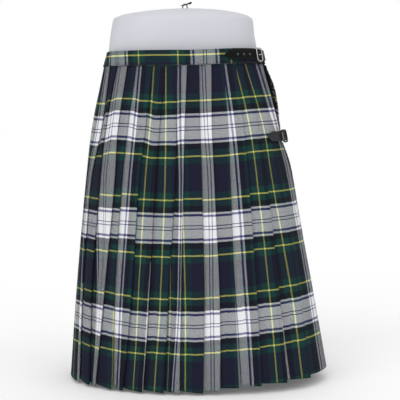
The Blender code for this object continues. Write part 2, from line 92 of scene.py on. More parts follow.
# where each pleat's fold edge lies across the back
FOLDS = {
    "o": Row(-159.5, -173.5, -194, -209.5, -216), "n": Row(-145.5, -165.5, -176, -190.5, -194.5),
    "m": Row(-126.5, -142.5, -148.5, -167.5, -184), "l": Row(-110, -125, -135, -148, -152),
    "k": Row(-80.8, -93.5, -104.5, -118, -133.5), "j": Row(-59.5, -69, -76, -87, -97.5),
    "i": Row(-38.5, -40, -42.5, -53.5, -62), "h": Row(-22, -26, -28, -32, -34),
    "g": Row(-1, 1, 4, 8, 6), "f": Row(20, 21, 25, 34, 35), "e": Row(41, 49, 53, 60, 67),
    "d": Row(62.5, 76, 84.5, 98, 107), "c": Row(78.5, 102.5, 116.5, 137.5, 152.5),
    "b": Row(97.5, 127.5, 143.5, 175, 195.5),
}
# places measured along the ring from the left side or the right side, plus to the front
FRONT_FOLDS = {"q": Row(30, 36, 44, 56, 66), "p": Row(13, 15, 18, 22, 26)}
LEFT_SEAM = Row(50, 60, 76, 96, 112)
LAST_FOLD = Row(-22, -20, -10, -5, -3)
BACK_END = Row(18, 30, 60, 88, 110)
APRON_EDGE = Row(-12, -6, 20, 44, 60)
FOLD_NAMES = [*FRONT_FOLDS, *FOLDS, "a"]

# -------- the tartan (mm)
# the colours of half the sett, each up to a distance from the middle of the white group
Stripe = namedtuple("Stripe", "end yarn")
SETT = [
    Stripe(1.7, "white"), Stripe(3.5, "blue"), Stripe(18.1, "white"), Stripe(22.2, "blue"),
    Stripe(25.7, "white"), Stripe(35.6, "black"), Stripe(46.3, "green"), Stripe(48.7, "yellow"),
    Stripe(59.9, "green"), Stripe(83.6, "navy"),
]
YARNS = {
    "white": (0.73, 0.74, 0.755), "blue": (0.04, 0.04, 0.16),
    "black": (0.0085, 0.0095, 0.0155), "green": (0.009, 0.0395, 0.0365),
    "yellow": (0.62, 0.6, 0.135), "navy": (0.012, 0.0125, 0.0265),
}
HALF_SETT = SETT[-1].end * MM
WARP_HALF = HALF_SETT * 0.957  # the threads that run down stand closer than those across
FIRST_GROUP = 0.11  # the first white group across the skirt, below the waist seam

# the thread on each pleat's fold edge, as its distance from the middle of a white group
THREADS = {
    "q": Row(-28, -28, -28, -28, -28), "p": Row(62, 62, 62, 62, 62),
    "o": Row(-10, -8.5, -12, -21.6, -21.6), "n": Row(-80, -80, -80, -80, -80),
    "m": Row(14.2, 12.5, 16.8, 11, 12), "l": Row(-52, -51, -48.4, -47, -46.6),
    "k": Row(44.5, 41.2, 38.9, 40.5, 31), "j": Row(-26.4, -29.1, -28.1, -23.5, -24.2),
    "i": Row(65.2, 63.3, 62.4, 59, 61.7), "h": Row(-8.3, -13, -15, -15.5, -6),
    "g": Row(-80, -80, -80.5, -82, -84), "f": Row(13, 9.2, 7.2, 13, 12.1),
    "e": Row(-54, -54, -54, -53, -52), "d": Row(41.4, 40, 39.8, 39.6, 37.7),
    "c": Row(-26.8, -27.6, -26.2, -26.6, -26.5), "b": Row(69.7, 68.6, 69.6, 60.8, 62.4),
    "a": Row(-7.5, -8.5, 9, 25, 45),
}
END_THREAD = -0.06  # where the sett starts on the plain end past the last fold
# some pleats bulge or are drawn in, so the thread at their other end is given too
THREAD_STARTS = {
    "m": Row(-3.5, -10.5, -9.6, -40, -41), "j": Row(-47.7, -53.6, -56.6, -60.4, -69.5),
    "h": Row(-24.8, -27, -34.7, -51.5, -66), "b": Row(42.4, 34.2, 31.9, 24.6, 17.5),
    "a": Row(-26, -28, -42, -42, -43),
}
# and for the one that turns round the side and those that fold on themselves, the thread halfway
THREAD_MIDDLES = {
    "m": Row(5.3, 1, 3.6, -20, -35), "h": Row(-16.5, -20, -25, -33.2, -24.6),
    "a": Row(-16.7, -17.9, -20.8, -21.2, -19),
}
# how much lower the cross threads of each pleat lie than its neighbours'
SLIPS = {
    "o": Row(2, 6, 4.5, 3, 3), "n": Row(1, -1, 5, 1, 2.5), "m": Row(-2, -6, -3, 1, 4.5),
    "l": Row(-2, -5.5, -3, -0.5, 5), "k": Row(0, -1.2, -6, 2, 5.5), "j": Row(1, 3.5, 2, 6.5, 4),
    "i": Row(0, 2.5, 3, 5.5, 0.9), "h": Row(0, 0, 2, 3.9, 3.3), "g": Row(0, 0, 0.8, 5, 5),
    "f": Row(0, 0, 3.6, 5.4, 3.1), "e": Row(0, 0, 4.5, 4.9, 4.9), "d": Row(0, 0, 3.5, 6.1, 6.5),
    "c": Row(-2, -1, 1, 3.8, 5.2), "b": Row(-4, -1.5, 0, 1, 4.8), "a": Row(-6, -2, 0, 2, 5.5),
}

# -------- layers (distance out)
OVER_OUT = 0.0024
UNDER_OUT = -0.0014
BAND_OUT = 0.0004
UNDER_BAND_OUT = -0.0018
OVER_BAND_OUT = 0.0018
LAYER_BLEND = 0.03
UNDERLAP = (0.01, 0.016)  # cloth folded back behind a fold edge, at the waist and the hem
UNDERLAP_SHARE = 0.7  # and at most this share of the pleat's face
LAYER_STEP = (0.0018, 0.0032)  # between a pleat's three layers, at the waist and the hem
FELL = 0.19  # the pleats are sewn flat down to here
HEM_TILT = 0.0034

# -------- how finely the cloth is made
CLOTH_ROWS = 84
FACE_STEPS = 12  # steps across the face of a pleat
LAYER_STEPS = 3  # and across each hidden layer
TURN_STEPS = 4  # steps round a folded edge
HIDDEN_SHARE = 0.9  # how much of the sett's run lies on the first hidden layer

# soft creases: where across a face (0 left, 1 right), from and to (m below the waist), half the
# width as a share of the face, how deep (mm, minus is a trough), and how far it leans over its run
Crease = namedtuple("Crease", "place start end width depth lean")
CREASES = {
    "q": [Crease(0.45, 0.28, 0.6, 0.2, -1.2, 0.032)],
    "p": [Crease(0.6, 0.34, 0.6, 0.24, 1.0, -0.026)],
    "o": [Crease(0.5, 0.25, 0.62, 0.22, -1.0, 0.037)],
    "n": [Crease(0.5, 0.3, 0.62, 0.25, 0.9, 0.0)],
    "m": [Crease(0.35, 0.2, 0.52, 0.16, -1.3, 0.048), Crease(0.75, 0.36, 0.62, 0.14, 0.9, 0.013)],
    "l": [Crease(0.4, 0.34, 0.6, 0.26, -0.9, 0.013)],
    "k": [Crease(0.42, 0.22, 0.58, 0.15, -1.5, 0.0432), Crease(0.8, 0.4, 0.62, 0.12, 1.1, -0.0132)],
    "j": [Crease(0.55, 0.26, 0.6, 0.18, -1.2, -0.034)],
    "i": [Crease(0.35, 0.3, 0.6, 0.15, -1.4, 0.03), Crease(0.75, 0.24, 0.55, 0.12, 1.0, 0.0155)],
    "h": [Crease(0.55, 0.28, 0.62, 0.22, 1.6, -0.0408)],
    "g": [Crease(0.3, 0.24, 0.6, 0.12, -1.5, 0.0288), Crease(0.68, 0.32, 0.62, 0.14, 1.2, -0.015)],
    "f": [Crease(0.5, 0.26, 0.6, 0.2, -1.1, 0.0204)],
    "e": [Crease(0.45, 0.3, 0.6, 0.16, -1.2, 0.03)],
    "d": [Crease(0.4, 0.22, 0.58, 0.13, -1.5, 0.036), Crease(0.76, 0.34, 0.62, 0.12, 1.2, 0.0056)],
    "c": [Crease(0.35, 0.26, 0.6, 0.12, -1.4, 0.034), Crease(0.72, 0.2, 0.5, 0.1, 0.9, 0.018)],
    "b": [Crease(0.45, 0.24, 0.6, 0.12, -1.6, 0.0432), Crease(0.8, 0.36, 0.62, 0.1, 1.2, 0.0104)],
    "a": [Crease(0.45, 0.22, 0.6, 0.1, -1.5, 0.038), Crease(0.75, 0.32, 0.62, 0.1, 1.3, 0.015)],
}
PANEL_CREASES = [
    Crease(0.06, 0.2, 0.6, 0.03, 1.6, 0.02), Crease(0.17, 0.28, 0.62, 0.035, -2.0, 0.04),
    Crease(0.3, 0.16, 0.5, 0.03, 1.5, 0.02), Crease(0.41, 0.3, 0.62, 0.045, -2.2, 0.01),
    Crease(0.55, 0.22, 0.6, 0.04, 1.8, -0.02), Crease(0.68, 0.34, 0.62, 0.035, -2.0, -0.03),
    Crease(0.8, 0.18, 0.56, 0.03, 1.4, -0.03), Crease(0.91, 0.26, 0.62, 0.03, -1.8, -0.02),
]
# down to the first of these the cross threads run on from pleat to pleat in a curve; below the
# second they step at the fold edges
SEWN_SLIP = (0.11, 0.2)
SLIP_BLEND = 0.7  # share of a pleat's face over which they curve
FACE_LEVEL = 0.1  # how much a pleat's cross threads rise along its tilted face
FACE_WANDER = 0.0006  # how far an open face waves in and out
EDGE_WANDER = 0.0007  # how far a fold edge strays from its curve
HEM_WANDER = 0.0009  # and the hem from its own


# ======== numbers
def smooth(places, values, at):
    """A curve through the table's values, read at one place."""
    last = len(places) - 1
    i = min(max(bisect.bisect_right(places, at) - 1, 0), last - 1)

    def slope(j):
        a, b = max(j - 1, 0), min(j + 1, last)
        return (values[b] - values[a]) / (places[b] - places[a])

    run = places[i + 1] - places[i]
    t = (at - places[i]) / run
    t2, t3 = t * t, t * t * t
    return ((2 * t3 - 3 * t2 + 1) * values[i] + (t3 - 2 * t2 + t) * run * slope(i)
            + (3 * t2 - 2 * t3) * values[i + 1] + (t3 - t2) * run * slope(i + 1))


def column(rows, key, scale=MM):
    return [getattr(row, key) * scale for row in rows]


def mix(a, b, t):
    return a + (b - a) * t


def shares(steps):
    """Even steps from 0 to 1."""
    return [i / steps for i in range(steps + 1)]


def ease(t):
    t = min(max(t, 0.0), 1.0)
    return t * t * (3.0 - 2.0 * t)


def signed_power(value, power):
    return copysign(abs(value) ** power, value)


def sway(x, y=0.0, z=0.0):
    """Smooth wandering between -1 and 1, the same each run."""
    return noise.noise(Vector((x, y, z)))


def bump(x):
    """A soft ridge: 1 in the middle and 0 past one width on each side."""
    return cos(min(abs(x), 1.0) * pi) * 0.5 + 0.5


# ======== the base surface
class RingCurve:
    """One ring of the base surface, measured along itself from the centre back."""

    def __init__(self, down):
        left, right, back, front = (smooth(column(RINGS, "down"), column(RINGS, side), down)
                                    for side in ("left", "right", "back", "front"))
        centre, half = (left + right) / 2, (right - left) / 2
        self.points, alongs = [], []
        self.length = 0.0
        for i in range(RING_SAMPLES + 1):
            turn = pi * (2.0 * i / RING_SAMPLES - 1.0)
            power = 2.0 / (ROUND_RIGHT if turn > 0 else ROUND_LEFT)
            sine, cosine = sin(turn), cos(turn)
            point = Vector((centre + half * signed_power(sine, power),
                            -(back if cosine > 0 else front) * signed_power(cosine, power)))
            if self.points:
                self.length += (point - self.points[-1]).length
            self.points.append(point)
            alongs.append(self.length)
        self.alongs = [value - alongs[2 * QUARTER] for value in alongs]
        self.side_left, self.side_right = self.alongs[QUARTER], self.alongs[3 * QUARTER]

    def point(self, along):
        low = self.alongs[0]
        along = low + (along - low) % self.length
        i = min(max(bisect.bisect_right(self.alongs, along), 1), RING_SAMPLES)
        a, b = self.alongs[i - 1], self.alongs[i]
        return self.points[i - 1].lerp(self.points[i], (along - a) / (b - a))

    def outward(self, along):
        reach = 0.006
        tangent = (self.point(along + reach) - self.point(along - reach)).normalized()
        return Vector((tangent.y, -tangent.x))

    def along_at(self, across):
        """The place on the back half that lies at this distance across."""
        xs = [point.x for point in self.points[QUARTER:3 * QUARTER + 1]]
        i = min(max(bisect.bisect_right(xs, across), 1), len(xs) - 1)
        t = (across - xs[i - 1]) / (xs[i] - xs[i - 1])
        return mix(self.alongs[QUARTER + i - 1], self.alongs[QUARTER + i], t)


RING_CACHE = {}


def ring(down):
    key = round(down, 6)
    if key not in RING_CACHE:
        RING_CACHE[key] = RingCurve(key)
    return RING_CACHE[key]


def right_lift(down, share):
    """How much higher the cloth hangs at this share of the ring, from the centre back round."""
    t = max(down, 0.0) / SKIRT_LENGTH
    fall_start, fall_end = LIFT_FALL
    return (mix(*RIGHT_LIFT, t) * ease(share / mix(*LIFT_RUN, t))
            * ease((fall_end - share) / (fall_end - fall_start)))


def band_lean(down, along):
    """How far the waistband leans in at this place, towards the form."""
    if down >= 0.0:
        return 0.0
    here, total = ring(down), 0.0
    for lean in LEANS:
        past = along - getattr(here, lean.side) - lean.beyond
        past = (past + here.length / 2) % here.length - here.length / 2
        total += lean.depth * bump(past / lean.reach)
    return total * mix(LEAN_FOOT, 1.0, min(-down / BAND_HEIGHT, 1.0))


def place(down, along, out=0.0, lift=0.0):
    """A place on the cloth as a point.  A line straight down the cloth keeps its length."""
    here, top = ring(down), ring(0.0)
    flat = here.point(along)
    share = along / here.length
    run = (flat - top.point(share * top.length)).length
    drop = copysign(sqrt(max(down * down - run * run, 0.0)), down)
    flat = flat + here.outward(along) * (out - band_lean(down, along))
    return Vector((flat.x, flat.y, WAIST_Z - drop + lift + right_lift(down, share % 1.0)))


def side_pull(down, along):
    """How far the straps draw the cloth in at this place."""
    depth = smooth(column(PULLS, "down"), column(PULLS, "depth"), down)
    return depth * bump((along - ring(down).side_right) / PULL_REACH)


def cloth_place(down, along, out=0.0, lift=0.0):
    return place(down, along, out - side_pull(down, along), lift)


def read_row(row, down):
    """A table row's value in metres at this distance down."""
    return smooth([value * MM for value in HEIGHTS], [value * MM for value in row], max(down, 0.0))


def from_right(row, down):
    return ring(down).side_right + read_row(row, down)


def from_left(row, down):
    return ring(down).side_left - read_row(row, down)


def apron_edge(down):
    return from_right(APRON_EDGE, down)


def apron_end(down):
    return ring(down).length + from_left(LEFT_SEAM, down)


def fold_places(down):
    """Every fold edge along the ring, from the left front to the right side."""
    front = [from_left(row, down) for row in FRONT_FOLDS.values()]
    back = [ring(down).along_at(read_row(row, down)) for row in FOLDS.values()]
    return front + back + [from_right(LAST_FOLD, down)]


# ======== meshes
def add_object(name, data):
    piece = bpy.data.objects.new(name, data)
    bpy.context.scene.collection.objects.link(piece)
    return piece


def new_object(name, data, slot, *replaced):
    """Puts a piece in the scene, riding on the root body, in place of the named CAD nodes."""
    piece = add_object(name, data)
    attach(piece, "root")
    if replaced:
        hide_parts(*replaced)
    return piece


def free_mesh(name, made):
    mesh = bpy.data.meshes.new(name)
    made.to_mesh(mesh)
    made.free()
    return mesh


def mesh_piece(name, made, material, slot, *replaced, sharp=50.0):
    mesh = free_mesh(name, made)
    mesh.shade_smooth()
    mesh.set_sharp_from_angle(angle=radians(sharp))
    mesh.materials.append(material)
    return new_object(name, mesh, slot, *replaced)


def sheet_piece(name, rows, material, slot, node, thickness, edge=0.0):
    """A sheet through rows of points, each paired with its place on the cloth's map."""
    made = bmesh.new()
    layer = made.loops.layers.uv.new(MAP)
    rows = [list(row) for row in rows]
    grid = [[made.verts.new(point) for point, _ in row] for row in rows]
    for r in range(len(grid) - 1):
        for i in range(len(grid[r]) - 1):
            corners = ((r, i), (r + 1, i), (r + 1, i + 1), (r, i + 1))
            face = made.faces.new([grid[a][b] for a, b in corners])
            for loop, (a, b) in zip(face.loops, corners):
                loop[layer].uv = rows[a][b][1]
    piece = mesh_piece(name, made, material, slot, node)
    solid = piece.modifiers.new("thickness", "SOLIDIFY")
    solid.thickness = thickness
    solid.offset = 0.0
    if edge:
        bevel = piece.modifiers.new("edge", "BEVEL")
        bevel.width = edge
        bevel.segments = 2
        bevel.limit_method = "ANGLE"
        bevel.angle_limit = radians(60)
    return piece


def tube(made, loops):
    """Joins loops of corners into a closed tube, and tells each face's loop."""
    faces = []
    for number, (one, other) in enumerate(zip(loops, loops[1:])):
        for i in range(len(one)):
            j = (i + 1) % len(one)
            faces.append((made.faces.new((one[i], one[j], other[j], other[i])), number))
    for number, corners in ((0, loops[0][::-1]), (len(loops) - 1, loops[-1])):
        faces.append((made.faces.new(corners), number))
    return faces


# ======== the pleated back
def crease_push(creases, share, down):
    """How far soft creases push a face out at a place on it."""
    total = 0.0
    for crease in creases:
        halfway, reach = (crease.start + crease.end) / 2, (crease.end - crease.start) / 2
        middle = crease.place + crease.lean * (down - crease.start) / (2 * reach)
        total += (crease.depth * MM * bump((share - middle) / crease.width)
                  * bump((down - halfway) / reach))
    return total


def openness(down):
    """How far the pleats have opened: 0 where they are sewn, 1 at the hem."""
    return ease((down - FELL) / (SKIRT_LENGTH - FELL))


def layer_step(down):
    return mix(*LAYER_STEP, down / SKIRT_LENGTH)


def hidden_layers(carried, step, thread_at, crowding):
    """The cloth from the last fold edge back in, and out again under it to the next face."""
    old_edge, fold, under, inner, slip = carried
    root = fold - under
    target = thread_at(root)
    target += round((old_edge + under - target) / (2 * WARP_HALF)) * 2 * WARP_HALF
    hidden = [(mix(fold - step / 2, root, s), inner * s - step,
               mix(old_edge, target, s * HIDDEN_SHARE)) for s in shares(LAYER_STEPS)[1:]]
    hidden += [(root - step / 2 * sin(pi * s), inner - 1.5 * step + step / 2 * cos(pi * s),
                mix(old_edge, target, mix(HIDDEN_SHARE, 1.0, s))) for s in shares(TURN_STEPS)[1:-1]]
    hidden += [(mix(root, fold, s), inner * (1.0 - s) - 2 * step, target + under * s * crowding)
               for s in shares(LAYER_STEPS)[:-1]]
    return [(*point, slip) for point in hidden]


def pleat_section(down):
    """The pleated cloth's path round one ring: (along, out, thread, slip) for each point."""
    step, open_share = layer_step(down), openness(down)
    own_share = ease((down - SEWN_SLIP[0]) / (SEWN_SLIP[1] - SEWN_SLIP[0]))
    edges = [along + EDGE_WANDER * (0.35 + open_share) * sway(down * 9.0, number * 7.3, 1.7)
             for number, along in enumerate(fold_places(down))]
    section = []
    before, depth, last_slip = from_left(LEFT_SEAM, down), 0.0, 0.0
    carried = None  # what the last fold edge hands on
    names, folds = FOLD_NAMES + ["end"], edges + [from_right(BACK_END, down)]
    for number, (name, fold) in enumerate(zip(names, folds)):
        last, width = name == "end", fold - before
        at_edge = width + END_THREAD if last else read_row(THREADS[name], down)
        first = read_row(THREAD_STARTS[name], down) if name in THREAD_STARTS else at_edge - width
        slip = read_row(SLIPS[name], down) if name in SLIPS else 0.0
        level = 0.0 if name == "a" else FACE_LEVEL * open_share
        under = 0.0 if last else min(mix(*UNDERLAP, down / SKIRT_LENGTH), UNDERLAP_SHARE * width)
        crowding = (at_edge - first) / width  # cloth to a metre of what shows

        def thread_at(along):
            if name in THREAD_MIDDLES and along > before:
                s, middle = (along - before) / width, read_row(THREAD_MIDDLES[name], down)
                return mix(first, middle, s * 2) if s < 0.5 else mix(middle, at_edge, s * 2 - 1)
            return at_edge - (fold - along) * crowding

        if carried:
            section += hidden_layers(carried, step, thread_at, crowding)
        crest = fold if last else fold - step / 2
        for s in shares(FACE_STEPS):
            along = mix(before, crest, s)
            out = crease_push(CREASES.get(name, ()), s, down) * sin(pi * min(s * 1.04, 1))
            out += (FACE_WANDER * open_share * sway(down * 6.0, number * 3.1 + s * 2.0)
                    * sin(pi * s)) - depth * (1.0 - s)
            blend = mix(ease(s / SLIP_BLEND), 1.0, own_share)
            lie = mix(last_slip, slip, blend) + level * (0.5 - s) * width
            section.append((along, out, thread_at(along), lie))
        if not last:
            section += [(fold - step / 2 + step / 2 * sin(pi * s),
                         -step / 2 + step / 2 * cos(pi * s), at_edge, slip)
                        for s in shares(TURN_STEPS)[1:-1]]
        carried = at_edge, fold, under, -depth * under / width, slip
        before, depth, last_slip = fold, 2 * step, slip
    return section


def cloth_downs():
    return [mix(SEAM_GAP, SKIRT_LENGTH, share) for share in shares(CLOTH_ROWS)]


def make_pleated_back(material):
    def row(down):
        for along, out, thread, slip in pleat_section(down):
            lift = HEM_WANDER * sway(along * 14.0, 4.2) - HEM_TILT * out / (2 * layer_step(down))
            point = cloth_place(down, along, out, openness(down) * lift)
            yield point, (thread, down - FIRST_GROUP - slip)

    return sheet_piece("pleats", map(row, cloth_downs()), material, "tartan", "pleated_back", CLOTH)


# ======== the aprons
OVER_THREAD = -0.05  # the thread on the over-apron's free edge
UNDER_THREAD = 0.02
UNDER_END_SHORT = 0.055
PANEL_COLUMNS = 90
PANEL_CALM = 0.08  # share of a panel at each edge over which its creases fade out


def make_panel(name, start_at, end_at, out_at, first_thread, pushed, material, node):
    def row(down):
        start = start_at(down)
        whole = end_at(down) - start
        for share in shares(PANEL_COLUMNS):
            calm = pushed * min(share, 1.0 - share, PANEL_CALM) / PANEL_CALM
            passed = share * whole
            out = out_at(passed, whole) + calm * crease_push(PANEL_CREASES, share, down)
            point = cloth_place(down, start + passed, out)
            yield point, (first_thread + passed, down - FIRST_GROUP)

    return sheet_piece(name, map(row, cloth_downs()), material, "tartan", node, CLOTH)


def make_aprons(material):
    over = make_panel(
        "over_panel", apron_edge,
        lambda down: apron_end(down) - SEAM_GAP,
        lambda passed, whole: OVER_OUT * ease((whole - passed) / LAYER_BLEND),
        OVER_THREAD, 1.0, material, "over_apron")
    under = make_panel(
        "under_panel", lambda down: from_right(BACK_END, down) + SEAM_GAP,
        lambda down: apron_end(down) - UNDER_END_SHORT,
        lambda passed, whole: UNDER_OUT * ease(passed / LAYER_BLEND),
        UNDER_THREAD, 0.0, material, "under_apron")
    return over, under


# ======== the waistband
BAND_GROUP = 0.0095  # where the middle of the band's white group lies across the back
BAND_TOP_THREAD = 0.0388  # the cross thread on the band's top edge
BAND_STRETCH = 0.985  # how much closer together its threads are than they measure
APRON_BAND_THREAD = -0.062
BAND_ROWS = 7
BAND_COLUMNS = 220
BAND_EDGE = 0.0007  # rounding of its folded edges
BAND_THINNER = 0.0004  # how much thinner than its solid it is drawn
BAND_BELLY = 0.00025
BAND_WAVE = 0.00035
BAND_STEP_CLEAR = 0.004


def make_band(name, start_at, end_at, out_at, thread_at, material, node):
    def row(share):
        down = mix(-BAND_HEIGHT, -SEAM_GAP, share)
        first, last = start_at(down), end_at(down)
        for along in (mix(first, last, s) for s in shares(BAND_COLUMNS)):
            push = (BAND_BELLY * sin(pi * share)
                    + BAND_WAVE * sway(along * 30.0, down * 20.0, 9.1))
            point = place(down, along, out_at(along, down) + push)
            yield point, (thread_at(along, first), BAND_TOP_THREAD + down + BAND_HEIGHT)

    return sheet_piece(name, map(row, shares(BAND_ROWS)), material, "band", node,
                       BAND_CLOTH - BAND_THINNER, BAND_EDGE)


def back_band_out(along, down):
    ramp_end = apron_edge(down) - BAND_STEP_CLEAR
    return mix(BAND_OUT, UNDER_BAND_OUT, ease((along - ramp_end) / LAYER_BLEND + 1.0))


def apron_band_out(along, down):
    return mix(BAND_OUT, OVER_BAND_OUT, ease((apron_end(down) - along) / LAYER_BLEND))


def make_bands(material):
    back = make_band(
        "band_back", lambda down: from_left(LEFT_SEAM, down) + SEAM_GAP,
        lambda down: apron_end(down) - UNDER_END_SHORT, back_band_out,
        lambda along, first: (along - ring(-BAND_HEIGHT / 2).along_at(BAND_GROUP)) * BAND_STRETCH,
        material, "waistband")
    front = make_band(
        "band_front", apron_edge, apron_end, apron_band_out,
        lambda along, first: APRON_BAND_THREAD + along - first, material, "apron_waistband")
    return back, front


# ======== the fringe
STRANDS = 1900
STRAND_LENGTH = (0.0085, 0.0125)
STRAND_DROOP = (0.0004, 0.003)
STRAND_BEND = 0.0012
STRAND_TWIST = 0.15  # turns from one step to the next
STRAND_THICK = (0.00068, 0.0004)  # a strand's radius at its root and its tip
STRAND_STEPS = 5
STRAND_SIDES = 4
STRAND_RISE = (0.0, 0.002)  # how far out its tip stands
STAND_SHARE = 0.72  # how much of what the straps draw in it stands out again
STAND_DOWNS = (0.065, 0.115)  # all of that down to the first, none below the second
STAND_MORE = 0.0034  # how much further out the strands stand about STAND_MIDDLE down
STAND_MIDDLE = 0.04
STRAP_CLEAR = 0.0035  # none of it this near a strap
FRINGE_STRIP = 0.003  # the strip of plain cloth that the strands are rooted in
STRIP_HALF = CLOTH * 0.42
END_CLEAR = 0.001


def under_a_strap(down):
    return any(abs(down - spec.down) < spec.width / 2 + STRAP_CLEAR for spec in (UPPER, LOWER))


def between(limits, chance):
    """A value between two limits, read off smooth noise that seldom reaches either."""
    return mix(*limits, min(max(0.5 + 0.9 * chance, 0.0), 1.0))


def strand_stand(down, edge, n):
    """How far out a strand's tip stands from the over-apron."""
    low, high = STAND_DOWNS
    stand = side_pull(down, edge) * STAND_SHARE * ease((high - down) / (high - low))
    stand += between(STRAND_RISE, sway(n * 0.37, 5.9))
    stand += STAND_MORE * bump((down - STAND_MIDDLE) / STAND_MIDDLE)
    return 0.0 if under_a_strap(down) else stand


def make_fringe(material):
    made = bmesh.new()
    layer = made.loops.layers.uv.new(MAP)

    def yarn(loops, downs):
        for face, number in tube(made, loops):
            for loop in face.loops:
                loop[layer].uv = (0.0, downs[number] - FIRST_GROUP)

    corners = ((SEAM_GAP, -STRIP_HALF), (SEAM_GAP, STRIP_HALF),
               (FRINGE_STRIP, 0.7 * STRIP_HALF), (FRINGE_STRIP, -0.7 * STRIP_HALF))
    strip = []
    for down in cloth_downs():
        edge = apron_edge(down)
        strip.append([made.verts.new(cloth_place(down, edge - inward, OVER_OUT + out))
                      for inward, out in corners])
    yarn(strip, cloth_downs())

    for n in range(STRANDS):
        root = mix(SEAM_GAP + END_CLEAR, SKIRT_LENGTH - END_CLEAR, (n + 0.5) / STRANDS)
        length = between(STRAND_LENGTH, sway(n * 0.71, 3.3) + 0.5 * sway(n * 1.93, 8.1))
        edge = apron_edge(root)
        stand = strand_stand(root, edge, n)
        droop = between(STRAND_DROOP, sway(n * 0.53, 1.3))
        bend = STRAND_BEND * sway(n * 0.83, 6.7)
        loops = []
        for i, s in enumerate(shares(STRAND_STEPS)):
            down = root + droop * s * s + bend * sin(pi * s)
            down = min(down, SKIRT_LENGTH - 0.8 * END_CLEAR)
            along, out = edge - FRINGE_STRIP * 0.6 - length * s, OVER_OUT + stand * s ** 1.4
            middle = cloth_place(down, along, out)
            side = (cloth_place(down, along, out + 0.002) - middle).normalized()
            loop = []
            for k in range(STRAND_SIDES):
                turn = 2 * pi * (k / STRAND_SIDES + STRAND_TWIST * i)
                spoke = side * cos(turn) + Vector((0, 0, 1)) * sin(turn)
                loop.append(made.verts.new(middle + spoke * mix(*STRAND_THICK, s)))
            loops.append(loop)
        yarn(loops, [root] * len(loops))
    bmesh.ops.recalc_face_normals(made, faces=made.faces)
    return mesh_piece("fringe", made, material, "yarn", "apron_fringe")


# ======== straps, tabs and buckles
# where each strap lies: how far down, across at its tip and its buckle, and past the right side
# at its anchor; its width; how far out its buckle holds it; its point's length, the tip's share
# of the width and how sharply it comes to it; its buckle's wire and how far that stands past it;
# and its holes' distances from its tip
Strap = namedtuple("Strap", "name down tip buckle anchor width buckle_out point tip_share sharpness"
                            " wire margin holes")
UPPER = Strap("upper", -0.0155, 0.0425, 0.099, 0.034, 0.0176, 0.0049, 0.01, 0.12, 1.5,
              0.0011, 0.0024, (0.0235, 0.0355, 0.0475))
LOWER = Strap("lower", 0.1328, 0.118, 0.143, 0.05, 0.0174, 0.005, 0.011, 0.1, 1.0,
              0.0014, 0.0017, (0.026,))
STRAP_COLUMNS = 72
STRAP_ROWS = 10
STRAP_CROWDING = 1.25  # its columns stand closer together at the tip
STRAP_EDGE = 0.0005
STRAP_DOME = 0.00018
TIP_CLEAR = 0.0004
DESCENT = (0.008, 0.016)  # past the buckle the strap starts down here, and over this run
TAB_REACH = 0.016
TAB_CLEAR = 0.001
TAB_PAST = 0.004
TAB_INSET = 0.001
TAB_COLUMNS = 20
TAB_LEATHER = 0.0014
TAB_EDGE = 0.0003
HOLE_RADIUS = 0.00125
HOLE_SIDES = 20
EYELET_WIRE = 0.00045  # the upper strap's holes have thin metal rims
STITCH_INSET = 0.0019  # the stitching's distance from the strap's edge
STITCH_PITCH = 0.0024
STITCH_START = 0.0045
STITCH_BREAK = 0.0125  # none within this of the buckle
STITCH_SIZE = (0.0016, 0.00026)  # a stitch's length and radius


def surface_axes(down, along, out):
    """A matrix at a place on the cloth: X along the ring, Y up the cloth, Z outward."""
    reach = 0.003
    x = (place(down, along + reach, out) - place(down, along - reach, out)).normalized()
    up = (place(down - reach, along, out) - place(down + reach, along, out)).normalized()
    z = x.cross(up).normalized()
    axes = Matrix((x, z.cross(x).normalized(), z)).transposed().to_4x4()
    return Matrix.Translation(place(down, along, out)) @ axes


def strap_places(spec):
    here = ring(spec.down)
    return here.along_at(spec.tip), here.along_at(spec.buckle), here.side_right + spec.anchor


def strap_base_out(spec):
    """The face that the strap lies on, before and after the over-apron's edge."""
    if spec.down < 0:
        return BAND_OUT + BAND_CLOTH / 2, OVER_BAND_OUT + BAND_CLOTH / 2
    return CLOTH / 2, OVER_OUT + CLOTH / 2


def strap_crest(spec):
    """The strap's middle layer where it passes over the tab, through the buckle."""
    tab_top = strap_base_out(spec)[0] + SEAM_GAP + TAB_LEATHER
    return max(tab_top + SEAM_GAP + LEATHER / 2, spec.buckle_out)


def strap_out(spec, along):
    tip, buckle, _ = strap_places(spec)
    near, far = strap_base_out(spec)
    rest, crest = SEAM_GAP + LEATHER / 2, strap_crest(spec)
    if along < buckle:
        climb = buckle - TAB_REACH - TAB_CLEAR - tip
        return mix(near + rest + TIP_CLEAR, crest, ease((along - tip) / climb))
    start, run = DESCENT
    return mix(crest, far + rest, ease((along - buckle - start) / run))


def strap_half_width(spec, along):
    share = min((along - strap_places(spec)[0]) / spec.point, 1.0)
    full = sin(share * pi / 2) ** spec.sharpness
    return spec.width / 2 * mix(spec.tip_share, 1.0, full)


def leather_sheet(name, spec, first, last, out_at, half_width_at, columns, material, node, sizes):
    def row(share):
        side = 2.0 * share - 1.0
        for s in shares(columns):
            along = mix(first, last, s ** STRAP_CROWDING)
            across = side * half_width_at(along)
            dome = STRAP_DOME * (1.0 - side * side)
            yield place(spec.down + across, along, out_at(along) + dome), (along - first, across)

    return sheet_piece(name, map(row, shares(STRAP_ROWS)), material, "strap", node, *sizes)


def hole_axes(spec, raised=0.0):
    for from_tip in spec.holes:
        along = strap_places(spec)[0] + from_tip
        yield surface_axes(spec.down, along, strap_out(spec, along) + raised)


